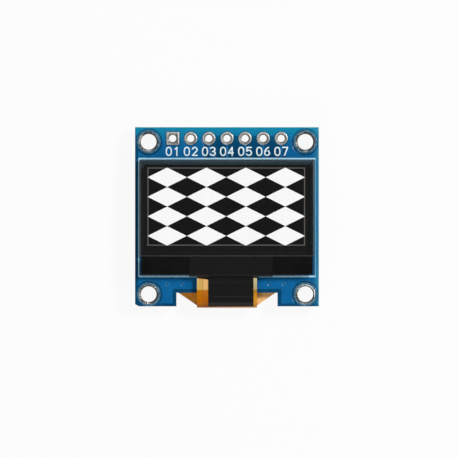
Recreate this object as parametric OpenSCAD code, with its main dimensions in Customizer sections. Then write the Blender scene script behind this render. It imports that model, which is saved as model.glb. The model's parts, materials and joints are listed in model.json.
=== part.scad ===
// Small OLED display module: a glass display panel taped to a blue circuit board,
// with its flex cable folded round the board's lower edge and soldered on the rear.
// The part lies with its display up: +X to the right, +Y towards the header row.
// Origin: centre of the four mounting holes, on the board's rear face. Millimetres.

/* [Display panel] */
// Width of the panel's glass
panel_w = 24.5; // [23.2:0.1:40]
// Height of the panel's front glass, along Y
panel_h = 16.15; // [13:0.05:40]
// Thickness of the front glass that carries the display layers
glass_t = 0.5; // [0.3:0.05:1.1]
// Thickness of the polarizing film
polarizer_t = 0.2; // [0.1:0.01:0.3]
// Setback of the film from the glass edges
polarizer_inset = 0.12; // [0.02:0.01:0.4]
// Thickness of the cap glass behind the display layers
cap_t = 0.5; // [0.4:0.05:1.1]
// Depth of the pocket in the cap glass
cap_pocket_depth = 0.25; // [0.18:0.01:0.3]
// Width of the sealant ring round the panel
seal_w = 0.6; // [0.4:0.05:1]
// Thickness of the sealant ring
seal_t = 0.05; // [0.04:0.005:0.1]
// Thickness of the desiccant sheet in the pocket
desiccant_t = 0.15; // [0.08:0.01:0.17]
// Gap between the desiccant sheet and the pocket walls
desiccant_gap = 0.8; // [0.1:0.05:2]
// Thickness of the adhesive tape between the panel and the board
tape_t = 0.2; // [0.1:0.05:1]
// Setback of the adhesive tape from the cap glass edges
tape_inset = 0.5; // [0.1:0.05:2]

/* [Lit area] */
// Gap between the sealant and the lit area at the sides
active_side_gap = 0.6; // [0.35:0.05:3]
// Gap between the sealant and the lit area at the top
active_top_gap = 0.43; // [0.3:0.01:3]
// Gap between the sealant and the lit area at the bottom
active_bottom_gap = 0.76; // [0.3:0.01:3]
// Sideways shift of the lit area on the panel
active_shift = -0.1; // [-0.1:0.05:0.1]
// Gap between the display layers and the sealant
layer_gap = 0.03; // [0.01:0.01:0.2]
// Thickness of the display layers
layer_t = 0.02; // [0.01:0.005:0.03]
// Thickness of the lit pixels
pixel_t = 0.01; // [0.005:0.001:0.01]
// Width of the lit border line
border_w = 0.14; // [0.08:0.01:0.3]
// Number of lozenges across
lozenge_columns = 4; // [2:1:8]
// Number of lozenges down
lozenge_rows = 4; // [2:1:8]
// Gap between the tips of two lozenges
lozenge_gap = 0.04; // [0.01:0.01:0.2]

/* [Driver chip and ledge] */
// Length of the driver chip
die_l = 7; // [4:0.1:10]
// Width of the driver chip
die_w = 0.9; // [0.6:0.05:1.6]
// Thickness of the driver chip
die_t = 0.3; // [0.15:0.05:0.4]
// Gap between the cap glass and the driver chip
die_gap = 0.25; // [0.1:0.05:1]
// Gap between the driver chip and the flex bond
bond_gap = 0.45; // [0.1:0.05:1]
// Length of the flex bond on the ledge
bond_l = 1.2; // [0.8:0.05:2.5]
// Thickness of the conductive bond film
bond_t = 0.02; // [0.01:0.005:0.04]
// How far the cap glass stops above the polarizer's lower edge
cap_setback = 0.1; // [0:0.01:0.2]

/* [Circuit board] */
// Thickness of the circuit board
board_t = 1.2; // [0.6:0.1:2]
// Board beyond the panel at each side
side_margin = 0.65; // [0.4:0.05:4]
// Board above the panel, for the header row and its labels
top_band = 4.64; // [4.4:0.02:8]
// Board below the panel, for the lower holes and the notch
bottom_band = 4.36; // [4.2:0.02:8]
// Mounting hole centre to the board's side edge
hole_edge_side = 1.9; // [1.75:0.05:2]
// Upper hole centre to the board's top edge
hole_edge_top = 2.05; // [1.75:0.05:2.3]
// Lower hole centre to the board's bottom edge
hole_edge_bottom = 1.7; // [1.65:0.05:2]
// Diameter of the finished mounting holes
hole_d = 2.2; // [1.4:0.1:2.5]
// Diameter of the tinned ring round each mounting hole
ring_d = 3.25; // [2.8:0.05:3.3]
// Thickness of the copper on both faces
copper_t = 0.035; // [0.018:0.001:0.07]
// Thickness of the plating in the holes
plating_t = 0.03; // [0.02:0.005:0.05]
// Width of the notch that the flex folds through
notch_w = 14.2; // [10:0.1:15]
// Depth of the notch
notch_depth = 1.91; // [0.5:0.05:2.2]
// Corner cut at the lower left, along X
corner_cut_x = 0.55; // [0.1:0.05:0.7]
// Corner cut at the lower left, along Y
corner_cut_y = 0.3; // [0.1:0.05:0.7]
// Thickness of the printed white lines
ink_t = 0.02; // [0.01:0.005:0.03]
// Gap between the panel and the printed frame
frame_gap = 0.02; // [0:0.01:0.08]
// Width of the printed frame at the sides
frame_side_w = 0.18; // [0.1:0.01:0.25]
// Width of the printed frame at the top
frame_top_w = 0.3; // [0.1:0.01:0.4]
// Width of the printed frame at the bottom
frame_bottom_w = 0.25; // [0.1:0.01:0.4]

/* [Header holes] */
// Number of header holes
pin_count = 7; // [2:1:7]
// Pitch of the header holes
pin_pitch = 2.54; // [2.2:0.01:2.6]
// Diameter of the finished header holes
pin_hole_d = 1; // [0.7:0.05:1.2]
// Diameter of the round header pads, and side of the square one
pin_pad_d = 1.85; // [1.5:0.05:2]
// Header row above the upper mounting holes
pin_row_rise = 0.47; // [0:0.01:0.6]

/* [Flex cable] */
// Thickness of the flex film
flex_t = 0.1; // [0.06:0.01:0.15]
// Width of the flex neck
neck_w = 8.42; // [7.6:0.02:9]
// How far the fold stands below the board's bottom edge
fold_overhang = 0.19; // [0.1:0.01:2]
// Start of the flare above the fold, along Y
flare_start = 0.31; // [0.1:0.01:1]
// Sideways run of the flare's edge for each millimetre along Y
flare_slope = 1.47; // [1:0.01:3]
// Length of the flex between the fold and its soldered end
tail_l = 8.0; // [6.6:0.1:9]
// Film beyond the outer tracks at the soldered end
tail_edge = 0.4; // [0.1:0.05:0.8]
// Number of soldered tracks
track_count = 30; // [10:1:30]
// Pitch of the tracks at the soldered end
track_pitch = 0.62; // [0.5:0.01:0.65]
// Width of the tracks
track_w = 0.13; // [0.06:0.01:0.15]
// Thickness of the tracks on the film
track_t = 0.018; // [0.01:0.001:0.03]
// Film beyond the outer tracks at the neck
track_margin = 0.4; // [0.2:0.05:0.8]

/* [Black tapes] */
// Thickness of the black film on the ledge
ledge_film_t = 0.03; // [0.02:0.01:0.06]
// Setback of the ledge film from the sides of the glass
ledge_film_side = 0.25; // [0.05:0.01:0.6]
// Setback of the ledge film from the lower edge of the glass
ledge_film_foot = 0.1; // [0.02:0.01:0.3]
// Thickness of the light tape
shield_t = 0.06; // [0.03:0.01:0.08]
// Width of the light tape on the ledge
shield_w = 11.72; // [9:0.02:16]
// Width of the light tape's strip down the neck
strip_w = 6.33; // [4:0.01:7]
// Sideways shift of the light tape on the panel
shield_shift = 0.55; // [-0.6:0.05:0.6]
// Run of the tape from the glass edge down to the neck, along Y
shield_drop = 0.36; // [0.25:0.01:0.8]
// Run of the loose tape edge beside the neck, along Y
shield_mouth = 0.2; // [0.05:0.01:0.24]
// Angle of the fold that the strip covers, from its top
strip_wrap = 52; // [20:1:70]
// Gap between the polarizer and the black tapes
shield_gap = 0.03; // [0.01:0.01:0.2]

/* [Soldered end] */
// Width of the flex pads on the board
flex_pad_w = 0.36; // [0.2:0.01:0.42]
// Length of the flex pads that shows past the film
flex_pad_out = 0.8; // [0.5:0.05:1.5]
// Length of the flex pads under the film
flex_pad_in = 1.2; // [0.5:0.05:1.8]
// Radius of the solder on each flex pad
solder_r = 0.15; // [0.08:0.01:0.2]
// Length of the solder on each flex pad
solder_l = 0.6; // [0.3:0.05:0.8]

/* [Rear parts] */
// Length of the large capacitors
big_chip_l = 2; // [1.6:0.05:2.2]
// Width of the large capacitors
big_chip_w = 1.25; // [0.8:0.05:1.4]
// Height of the large capacitors and of the regulator
big_chip_h = 1.1; // [0.8:0.05:1.3]
// Length of the small capacitors and resistors
chip_l = 1.6; // [1.2:0.05:1.7]
// Width of the small capacitors and resistors
chip_w = 0.8; // [0.5:0.05:0.9]
// Height of the small capacitors
small_cap_h = 0.8; // [0.4:0.05:0.9]
// Height of the resistors
resistor_h = 0.45; // [0.3:0.05:0.6]
// Length of a chip's metal end
terminal_l = 0.35; // [0.2:0.05:0.4]
// How far a metal end stands proud of the chip's body
terminal_skin = 0.02; // [0.01:0.005:0.04]
// Length of the solder fillet beyond a chip's end
fillet_l = 0.25; // [0.1:0.05:0.35]
// Height of the solder fillet as it climbs a chip's end
fillet_h = 0.25; // [0.1:0.01:0.28]
// Length of the regulator's body
regulator_l = 2.9; // [2.6:0.1:3.1]
// Width of the regulator's body
regulator_w = 1.3; // [1.1:0.1:1.5]
// Spacing of the regulator's two near leads
regulator_pitch = 1.9; // [1.8:0.05:2]
// Width of the regulator's leads
regulator_lead_w = 0.4; // [0.3:0.05:0.5]
// Length of the diode's body
diode_l = 1.7; // [1.6:0.05:1.8]
// Width of the diode's body
diode_w = 1.25; // [1.1:0.05:1.4]
// Height of the diode's body
diode_h = 0.85; // [0.7:0.05:0.95]
// Width of the diode's leads
diode_lead_w = 0.3; // [0.2:0.05:0.4]
// Thickness of the moulded parts' leads
lead_t = 0.12; // [0.08:0.01:0.16]
// How far a lead reaches past its moulded body
lead_reach = 0.55; // [0.4:0.05:0.7]
// Length of a lead from its moulded body to the far side of its bend
lead_bend = 0.25; // [0.2:0.01:0.35]
// Depth of a lead in its moulded body
lead_seat = 0.04; // [0.02:0.01:0.1]
// Lean of a moulded body's sides
mould_draft = 0.08; // [0.02:0.01:0.15]
// Clearance under a moulded body
standoff = 0.05; // [0.02:0.01:0.1]
// Pitch of the rows of small chips
chip_row_pitch = 1.75; // [1.5:0.05:1.9]
// Pitch of the columns of small chips
chip_column_pitch = 3.3; // [2.9:0.05:3.4]
// Regulator and diode to the board's left edge
left_part_edge = 4.7; // [4.5:0.1:5]
// Upper large capacitor to the board's right edge
right_part_edge = 4.5; // [2:0.1:4.7]
// First column of small chips, right of the regulator and diode
column_step = 4.3; // [4:0.1:4.4]
// Lower large capacitors to the board's side edges
side_chip_edge = 1.7; // [0.9:0.05:2.3]
// Lower large capacitors below the soldered end of the flex
side_chip_drop = 0.9; // [0.2:0.05:2.8]
// Gap between the rear parts and the soldered end of the flex
parts_gap = 2.0; // [0.8:0.05:3]

/* [Hidden] */
$fn = 48;
eps = 0.01;

// Names of the repeated pieces
corners = ["top_left", "top_right", "bottom_left", "bottom_right"];
small_cap_count = 4;
big_cap_count = 3;
resistor_count = 8;

// Board outline, from the panel outwards
ledge_h = bond_l + bond_gap + die_w + die_gap - cap_setback;
board_w = panel_w + 2 * side_margin;
board_h = top_band + panel_h + bottom_band;
hole_x = board_w / 2 - hole_edge_side;
hole_y = (board_h - hole_edge_top - hole_edge_bottom) / 2;
board_top = hole_y + hole_edge_top;
board_bottom = -hole_y - hole_edge_bottom;
header_y = hole_y + pin_row_rise;

// Panel edges along Y
panel_top = board_top - top_band;
panel_bottom = panel_top - panel_h;
ledge_top = panel_bottom + ledge_h;
cap_bottom = ledge_top + cap_setback;

// Levels of the stack above the board's rear face
board_z = board_t;
cap_z = board_z + tape_t;
seal_z = cap_z + cap_t;
glass_z = seal_z + seal_t;
film_z = glass_z + glass_t;
film_top = film_z + polarizer_t;
shield_z = film_z + ledge_film_t;

// Lit area
active_w = panel_w - 2 * (seal_w + active_side_gap);
active_top = panel_top - seal_w - active_top_gap;
active_bottom = cap_bottom + seal_w + active_bottom_gap;
active_h = active_top - active_bottom;
lozenge_w = active_w / lozenge_columns;
lozenge_h = active_h / lozenge_rows;
pixel_z = glass_z - pixel_t;
layers_z = pixel_z - layer_t;

// Flex: a straight neck, a round fold and a flared tail behind the board
flex_top = glass_z - bond_t;
tail_z = -copper_t;
fold_bottom = board_bottom - fold_overhang;
fold_r = (flex_top - tail_z) / 2 + flex_t / 2;
fold_z = (flex_top + tail_z - flex_t) / 2;
fold_y = fold_bottom + fold_r;
tail_end = fold_bottom + tail_l;
tail_w = (track_count - 1) * track_pitch + flex_pad_w + 2 * tail_edge;
flare_y = fold_bottom + flare_start;
flare_end = flare_y + (tail_w - neck_w) / 2 / flare_slope;
bond_top = panel_bottom + bond_l;

// Rear parts, placed from the soldered end of the flex upwards
pad_row_end = tail_end + flex_pad_out;
parts_bottom = pad_row_end + parts_gap;
side_chip_x = board_w / 2 - side_chip_edge;
side_chip_y = tail_end - side_chip_drop;
left_x = -board_w / 2 + left_part_edge;
right_x = board_w / 2 - right_part_edge;
columns_x = left_x + column_step;

// ---------- shared shapes ----------

// A plate from one corner to the opposite one, between two levels
module plate(x0, y0, x1, y1, z0, z1) {
    translate([x0, y0, z0]) cube([x1 - x0, y1 - y0, z1 - z0]);
}

// A plate centred on X
module centred_plate(w, y0, y1, z0, z1, shift = 0) {
    plate(shift - w / 2, y0, shift + w / 2, y1, z0, z1);
}

// A flat ring with square corners, wall by wall
module square_ring(x, y0, y1, side, top, bottom, z0, z1) {
    difference() {
        plate(-x, y0, x, y1, z0, z1);
        plate(-x + side, y0 + bottom, x - side, y1 - top, z0 - eps, z1 + eps);
    }
}

// A tinned pad on both faces with its plated barrel through the board
module plated_pad(x, y, pad, hole, square = false) {
    translate([x, y, 0]) difference() {
        union() {
            translate([0, 0, -copper_t]) pad_plate(pad, square);
            translate([0, 0, board_t]) pad_plate(pad, square);
            translate([0, 0, -copper_t])
                cylinder(h = board_t + 2 * copper_t, d = hole + 2 * plating_t);
        }
        translate([0, 0, -copper_t - 1]) cylinder(h = board_t + 2 * copper_t + 2, d = hole);
    }
}

module pad_plate(pad, square) {
    if (square) translate([-pad / 2, -pad / 2, 0]) cube([pad, pad, copper_t]);
    else cylinder(h = copper_t, d = pad);
}

// ---------- circuit board ----------

function corner_x(i) = (i % 2 == 0 ? -1 : 1) * hole_x;
function corner_y(i) = (i < 2 ? 1 : -1) * hole_y;
function pin_x(i) = (i - (pin_count + 1) / 2) * pin_pitch;

module board_outline() {
    polygon([
        [-board_w / 2 + corner_cut_x, board_bottom],
        [-notch_w / 2, board_bottom],
        [-notch_w / 2, board_bottom + notch_depth],
        [notch_w / 2, board_bottom + notch_depth],
        [notch_w / 2, board_bottom],
        [board_w / 2, board_bottom],
        [board_w / 2, board_top],
        [-board_w / 2, board_top],
        [-board_w / 2, board_bottom + corner_cut_y]]);
}

module printed_circuit_board() {
    color([0.07, 0.38, 0.62]) difference() {
        linear_extrude(board_t) board_outline();
        for (i = [0 : 3]) translate([corner_x(i), corner_y(i), -1])
            cylinder(h = board_t + 2, d = hole_d + 2 * plating_t);
        for (i = [1 : pin_count]) translate([pin_x(i), header_y, -1])
            cylinder(h = board_t + 2, d = pin_hole_d + 2 * plating_t);
    }
}

module mounting_ring(i) {
    color([0.78, 0.79, 0.8]) plated_pad(corner_x(i), corner_y(i), ring_d, hole_d);
}

module header_pad(i) {
    color([0.8, 0.8, 0.78]) plated_pad(pin_x(i), header_y, pin_pad_d, pin_hole_d, i == 1);
}

// Printed frame round the panel
module front_silkscreen() {
    color("white") square_ring(
        panel_w / 2 + frame_gap + frame_side_w,
        panel_bottom - frame_gap - frame_bottom_w, panel_top + frame_gap + frame_top_w,
        frame_side_w, frame_top_w, frame_bottom_w, board_z, board_z + ink_t);
}

// ---------- display panel ----------

module panel_tape() {
    color([0.93, 0.93, 0.9]) centred_plate(panel_w - 2 * tape_inset,
        cap_bottom + tape_inset, panel_top - tape_inset, board_z, cap_z);
}

module cap_glass() {
    color([0.75, 0.85, 0.84, 0.5]) difference() {
        centred_plate(panel_w, cap_bottom, panel_top, cap_z, seal_z);
        centred_plate(panel_w - 2 * seal_w, cap_bottom + seal_w, panel_top - seal_w,
            seal_z - cap_pocket_depth, seal_z + eps);
    }
}

module desiccant_sheet() {
    inset = seal_w + desiccant_gap;
    floor_z = seal_z - cap_pocket_depth;
    color([0.95, 0.94, 0.9]) centred_plate(panel_w - 2 * inset,
        cap_bottom + inset, panel_top - inset, floor_z, floor_z + desiccant_t);
}

module edge_sealant() {
    color([0.6, 0.6, 0.55]) square_ring(panel_w / 2, cap_bottom, panel_top,
        seal_w, seal_w, seal_w, seal_z, glass_z);
}

// The thin organic and metal layers, black where no pixel is lit
module display_layers() {
    inset = seal_w + layer_gap;
    color([0.08, 0.08, 0.09]) centred_plate(panel_w - 2 * inset,
        cap_bottom + inset, panel_top - inset, layers_z, pixel_z);
}

module lozenge(w, h) {
    polygon([[-w / 2, 0], [0, -h / 2], [w / 2, 0], [0, h / 2]]);
}

module lozenge_grid(w, h) {
    for (c = [0 : lozenge_columns - 1], r = [0 : lozenge_rows - 1])
        translate([
            active_shift + (c + 0.5) * lozenge_w - active_w / 2,
            active_bottom + (r + 0.5) * lozenge_h])
            lozenge(w, h);
}

module lit_lozenges() {
    color("white") translate([0, 0, pixel_z]) linear_extrude(pixel_t)
        lozenge_grid(lozenge_w - lozenge_gap, lozenge_h - lozenge_gap / 2);
}

// The border line, open where a lozenge's tip crosses it
module lit_border() {
    color([0.55, 0.55, 0.57]) translate([0, 0, pixel_z]) linear_extrude(pixel_t)
        difference() {
            translate([active_shift - active_w / 2, active_bottom])
                square([active_w, active_h]);
            translate([active_shift - active_w / 2 + border_w, active_bottom + border_w])
                square([active_w - 2 * border_w, active_h - 2 * border_w]);
            lozenge_grid(lozenge_w + lozenge_gap, lozenge_h + lozenge_gap / 2);
        }
}

module front_glass() {
    color([0.2, 0.22, 0.23, 0.4])
        centred_plate(panel_w, panel_bottom, panel_top, glass_z, film_z);
}

module polarizer() {
    color([0.12, 0.12, 0.14, 0.5]) centred_plate(panel_w - 2 * polarizer_inset,
        ledge_top, panel_top - polarizer_inset, film_z, film_top);
}

module driver_chip() {
    die_top = cap_bottom - die_gap;
    color([0.25, 0.25, 0.28])
        centred_plate(die_l, die_top - die_w, die_top, glass_z - die_t, glass_z);
}

module bond_film() {
    color([0.7, 0.6, 0.35])
        centred_plate(neck_w, panel_bottom, bond_top, flex_top, glass_z);
}

// ---------- flex cable ----------

// Side view of the flex path between two distances outside the film's outer face
module flex_profile(inner, outer, from_y, to_y) {
    translate([fold_y, flex_top + inner]) square([from_y - fold_y, outer - inner]);
    translate([fold_y, tail_z - flex_t - outer]) square([to_y - fold_y, outer - inner]);
    translate([fold_y, fold_z]) difference() {
        circle(r = fold_r + outer);
        circle(r = fold_r + inner);
        translate([0, -2 * fold_r]) square(4 * fold_r);
    }
}

// The same path across the part, w wide
module flex_sheet(inner, outer, from_y, to_y, w) {
    translate([-w / 2, 0, 0]) rotate([90, 0, 90]) linear_extrude(w)
        flex_profile(inner, outer, from_y, to_y);
}

module tail_outline() {
    polygon([
        [-neck_w / 2, fold_bottom - 1], [neck_w / 2, fold_bottom - 1],
        [neck_w / 2, flare_y], [tail_w / 2, flare_end], [tail_w / 2, tail_end],
        [-tail_w / 2, tail_end], [-tail_w / 2, flare_end], [-neck_w / 2, flare_y]]);
}

module flex_film() {
    color([0.85, 0.5, 0.1]) intersection() {
        flex_sheet(-flex_t, 0, bond_top, tail_end, tail_w + 1);
        union() {
            translate([-neck_w / 2, fold_bottom - 1, fold_z - eps])
                cube([neck_w, bond_top - fold_bottom + 2, flex_top]);
            translate([0, 0, fold_z - 2 * fold_r]) linear_extrude(2 * fold_r)
                tail_outline();
        }
    }
}

// One track along the neck, out along the flare and straight to its pad
module track_outline(i) {
    share = i / (track_count - 1) - 0.5;
    neck_x = share * (neck_w - 2 * track_margin - track_w);
    pad_x = share * (track_count - 1) * track_pitch;
    polygon([
        [neck_x - track_w / 2, fold_bottom - 1], [neck_x + track_w / 2, fold_bottom - 1],
        [neck_x + track_w / 2, flare_y], [pad_x + track_w / 2, flare_end],
        [pad_x + track_w / 2, tail_end], [pad_x - track_w / 2, tail_end],
        [pad_x - track_w / 2, flare_end], [neck_x - track_w / 2, flare_y]]);
}

module flex_tracks() {
    color([0.72, 0.42, 0.12]) intersection() {
        flex_sheet(0, track_t, bond_top, tail_end, tail_w + 1);
        translate([0, 0, fold_z - 2 * fold_r]) linear_extrude(2 * fold_r)
            for (i = [0 : track_count - 1]) track_outline(i);
    }
}

// Glossy black film that covers the ledge
module ledge_film() {
    color([0.07, 0.07, 0.07]) centred_plate(panel_w - 2 * ledge_film_side,
        panel_bottom + ledge_film_foot, ledge_top - shield_gap,
        film_z, shield_z);
}

// Black tape: flat over the ledge film, down over the glass edge and along the neck
module light_tape() {
    ramp_end = panel_bottom - shield_drop;
    color([0.1, 0.1, 0.1]) union() {
        centred_plate(shield_w, panel_bottom, ledge_top - shield_gap,
            shield_z, shield_z + shield_t, shield_shift);
        shield_ramp(shield_w, shield_mouth, shield_shift);
        shield_ramp(neck_w, shield_drop, 0);
        centred_plate(strip_w, fold_y - eps, ramp_end + eps,
            flex_top, flex_top + shield_t, shield_shift);
        strip_fold();
    }
}

// The stretch between the glass edge and the neck, cut off at a distance from the edge
module shield_ramp(w, reach, shift) {
    slope = (shield_z - flex_top) / shield_drop;
    translate([shift - w / 2, 0, 0]) rotate([90, 0, 90]) linear_extrude(w)
        polygon([
            [panel_bottom, shield_z], [panel_bottom + eps, shield_z],
            [panel_bottom + eps, shield_z + shield_t], [panel_bottom, shield_z + shield_t],
            [panel_bottom - reach, shield_z + shield_t - reach * slope],
            [panel_bottom - reach, shield_z - reach * slope]]);
}

// The strip round the first part of the fold
module strip_fold() {
    far = 2 * fold_r;
    translate([shield_shift - strip_w / 2, fold_y, fold_z]) intersection() {
        rotate([0, 90, 0]) difference() {
            cylinder(h = strip_w, r = fold_r + shield_t);
            translate([0, 0, -1]) cylinder(h = strip_w + 2, r = fold_r);
        }
        rotate([90, 0, 90]) linear_extrude(strip_w) polygon([
            [0, 0], [0, far], [-far * sin(strip_wrap), far],
            [-far * sin(strip_wrap), far * cos(strip_wrap)]]);
    }
}

// ---------- soldered end of the flex ----------

function flex_pad_x(i) = (i - (track_count - 1) / 2) * track_pitch;

module flex_pads() {
    color([0.8, 0.75, 0.6]) for (i = [0 : track_count - 1])
        centred_plate(flex_pad_w, tail_end - flex_pad_in, pad_row_end,
            -copper_t, 0, flex_pad_x(i));
}

module flex_solder() {
    color([0.82, 0.83, 0.84]) for (i = [0 : track_count - 1])
        translate([flex_pad_x(i), tail_end + solder_l, -copper_t]) rotate([90, 0, 0])
            intersection() {
                cylinder(h = solder_l, r = solder_r);
                translate([-solder_r, -solder_r, -1])
                    cube([2 * solder_r, solder_r, solder_l + 2]);
            }
}

// ---------- rear parts ----------
// Each place is [x, y, turned], where a turned chip lies along Y.

large_places = [
    [-side_chip_x, side_chip_y, true],
    [side_chip_x, side_chip_y, true],
    [right_x, parts_bottom + 3 * chip_row_pitch, false]];
small_places = [for (i = [0 : small_cap_count - 1])
    [columns_x, parts_bottom + (i + 0.5) * chip_row_pitch, false]];
resistor_places = [for (i = [0 : resistor_count - 1])
    [columns_x + (1 + floor(i / 4)) * chip_column_pitch,
     parts_bottom + (i % 4 + 0.5) * chip_row_pitch, false]];
regulator_place = [left_x, parts_bottom + 3 * chip_row_pitch];
diode_place = [left_x, parts_bottom + 0.5 * chip_row_pitch];

// Turns a chip that was drawn standing on z = 0, so that it hangs from the rear face
module on_rear(place) {
    translate([place[0], place[1], -copper_t]) mirror([0, 0, 1])
        rotate([0, 0, place[2] == true ? 90 : 0]) children();
}

module chip(l, w, h) {
    translate([-l / 2 + terminal_skin, -w / 2 + terminal_skin, terminal_skin])
        cube([l - 2 * terminal_skin, w - 2 * terminal_skin, h - 2 * terminal_skin]);
    for (s = [0, 1]) mirror([s, 0, 0])
        translate([l / 2 - terminal_l, -w / 2, 0]) cube([terminal_l, w, h]);
}

module large_capacitor(i) {
    color([0.68, 0.55, 0.4]) on_rear(large_places[i - 1])
        chip(big_chip_l, big_chip_w, big_chip_h);
}

module small_capacitor(i) {
    color([0.7, 0.58, 0.42]) on_rear(small_places[i - 1]) chip(chip_l, chip_w, small_cap_h);
}

module resistor(i) {
    color([0.12, 0.12, 0.12]) on_rear(resistor_places[i - 1])
        chip(chip_l, chip_w, resistor_h);
}

// A moulded body with sides that lean in towards top and bottom
module moulded_body(l, w, h) {
    waist = lead_level(h);
    rim = w / 2 - mould_draft;
    rotate([90, 0, 90]) translate([0, 0, -l / 2]) linear_extrude(l) polygon([
        [-rim, standoff], [rim, standoff], [w / 2, waist],
        [rim, h], [-rim, h], [-w / 2, waist]]);
}

function lead_level(h) = (standoff + h) / 2;

// A gull-wing lead that leaves the body's side along +Y at half height
module lead(w, h, body_w) {
    under = lead_level(h) - lead_t / 2;
    heel = lead_bend - lead_t;
    translate([-w / 2, body_w / 2, 0]) rotate([90, 0, 90]) linear_extrude(w) polygon([
        [-lead_seat, under], [heel, under], [heel, 0],
        [lead_reach, 0], [lead_reach, lead_t], [lead_bend, lead_t],
        [lead_bend, under + lead_t], [-lead_seat, under + lead_t]]);
}

// Shallow sockets in the body, where the leads are moulded in
module regulator_lead_set() {
    for (x = [-1, 1]) translate([x * regulator_pitch / 2, 0, 0])
        lead(regulator_lead_w, big_chip_h, regulator_w);
    rotate([0, 0, 180]) lead(regulator_lead_w, big_chip_h, regulator_w);
}

module diode_lead_set() {
    for (a = [90, 270]) rotate([0, 0, a]) lead(diode_lead_w, diode_h, diode_l);
}

module regulator_body() {
    color([0.1, 0.1, 0.11]) on_rear(regulator_place) difference() {
        moulded_body(regulator_l, regulator_w, big_chip_h);
        regulator_lead_set();
    }
}

module regulator_leads() {
    color([0.75, 0.75, 0.76]) on_rear(regulator_place) regulator_lead_set();
}

module diode_body() {
    color([0.13, 0.12, 0.12]) on_rear(diode_place) difference() {
        rotate([0, 0, 90]) moulded_body(diode_w, diode_l, diode_h);
        diode_lead_set();
    }
}

module diode_leads() {
    color([0.75, 0.75, 0.76]) on_rear(diode_place) diode_lead_set();
}

// Copper lands under a two-ended chip, with room for the solder
module chip_lands(l, w) {
    for (s = [0, 1]) mirror([s, 0, 0])
        translate([l / 2 - terminal_l, -w / 2, -copper_t])
            cube([terminal_l + fillet_l, w, copper_t]);
}

// Copper land under the foot of a lead
module lead_land(w, body_w) {
    heel = lead_bend - lead_t;
    translate([-w / 2, body_w / 2 + heel, -copper_t])
        cube([w, lead_reach - heel + fillet_l, copper_t]);
}

// A solder wedge that climbs a face at x = 0
module fillet(w, h) {
    translate([0, w / 2, 0]) rotate([90, 0, 0]) linear_extrude(w)
        polygon([[0, 0], [fillet_l, 0], [0, h]]);
}

module chip_fillets(l, w) {
    for (s = [0, 1]) mirror([s, 0, 0]) translate([l / 2, 0, 0]) fillet(w, fillet_h);
}

module lead_fillet(w, body_w) {
    translate([0, body_w / 2 + lead_reach, 0]) rotate([0, 0, 90]) fillet(w, lead_t);
}

module for_each_chip() {
    for (p = large_places) on_rear(p) children(0);
    for (p = concat(small_places, resistor_places)) on_rear(p) children(1);
}

module for_each_lead() {
    for (x = [-1, 1]) on_rear(regulator_place) translate([x * regulator_pitch / 2, 0, 0])
        children(0);
    on_rear(regulator_place) rotate([0, 0, 180]) children(0);
    for (a = [90, 270]) on_rear(diode_place) rotate([0, 0, a]) children(1);
}

module chip_pads() {
    color([0.8, 0.75, 0.6]) {
        for_each_chip() {
            chip_lands(big_chip_l, big_chip_w);
            chip_lands(chip_l, chip_w);
        }
        for_each_lead() {
            lead_land(regulator_lead_w, regulator_w);
            lead_land(diode_lead_w, diode_l);
        }
    }
}

module chip_solder() {
    color([0.82, 0.83, 0.84]) {
        for_each_chip() {
            chip_fillets(big_chip_l, big_chip_w);
            chip_fillets(chip_l, chip_w);
        }
        for_each_lead() {
            lead_fillet(regulator_lead_w, regulator_w);
            lead_fillet(diode_lead_w, diode_l);
        }
    }
}

// ---------- nodes ----------

printed_circuit_board();
front_silkscreen();
for (i = [0 : 3])
    mounting_ring(i);
for (i = [1 : pin_count])
    header_pad(i);
panel_tape();
cap_glass();
desiccant_sheet();
edge_sealant();
display_layers();
lit_lozenges();
lit_border();
front_glass();
polarizer();
driver_chip();
bond_film();
flex_film();
flex_tracks();
ledge_film();
light_tape();
flex_pads();
flex_solder();
for (i = [1 : big_cap_count])
    large_capacitor(i);
for (i = [1 : small_cap_count])
    small_capacitor(i);
for (i = [1 : resistor_count])
    resistor(i);
regulator_body();
regulator_leads();
diode_body();
diode_leads();
chip_pads();
chip_solder();
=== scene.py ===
"""Looks of the small OLED display module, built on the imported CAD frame.

The part lies with its display up: +X to the right, +Y towards the header row, +Z out of the
display. Lengths in this script are millimetres in the frame's own axes. The mesh builders turn
them into metres.
"""

import json
import math

import bmesh
import bpy
import numpy as np
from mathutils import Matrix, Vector, noise
from mathutils.geometry import tessellate_polygon

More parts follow.
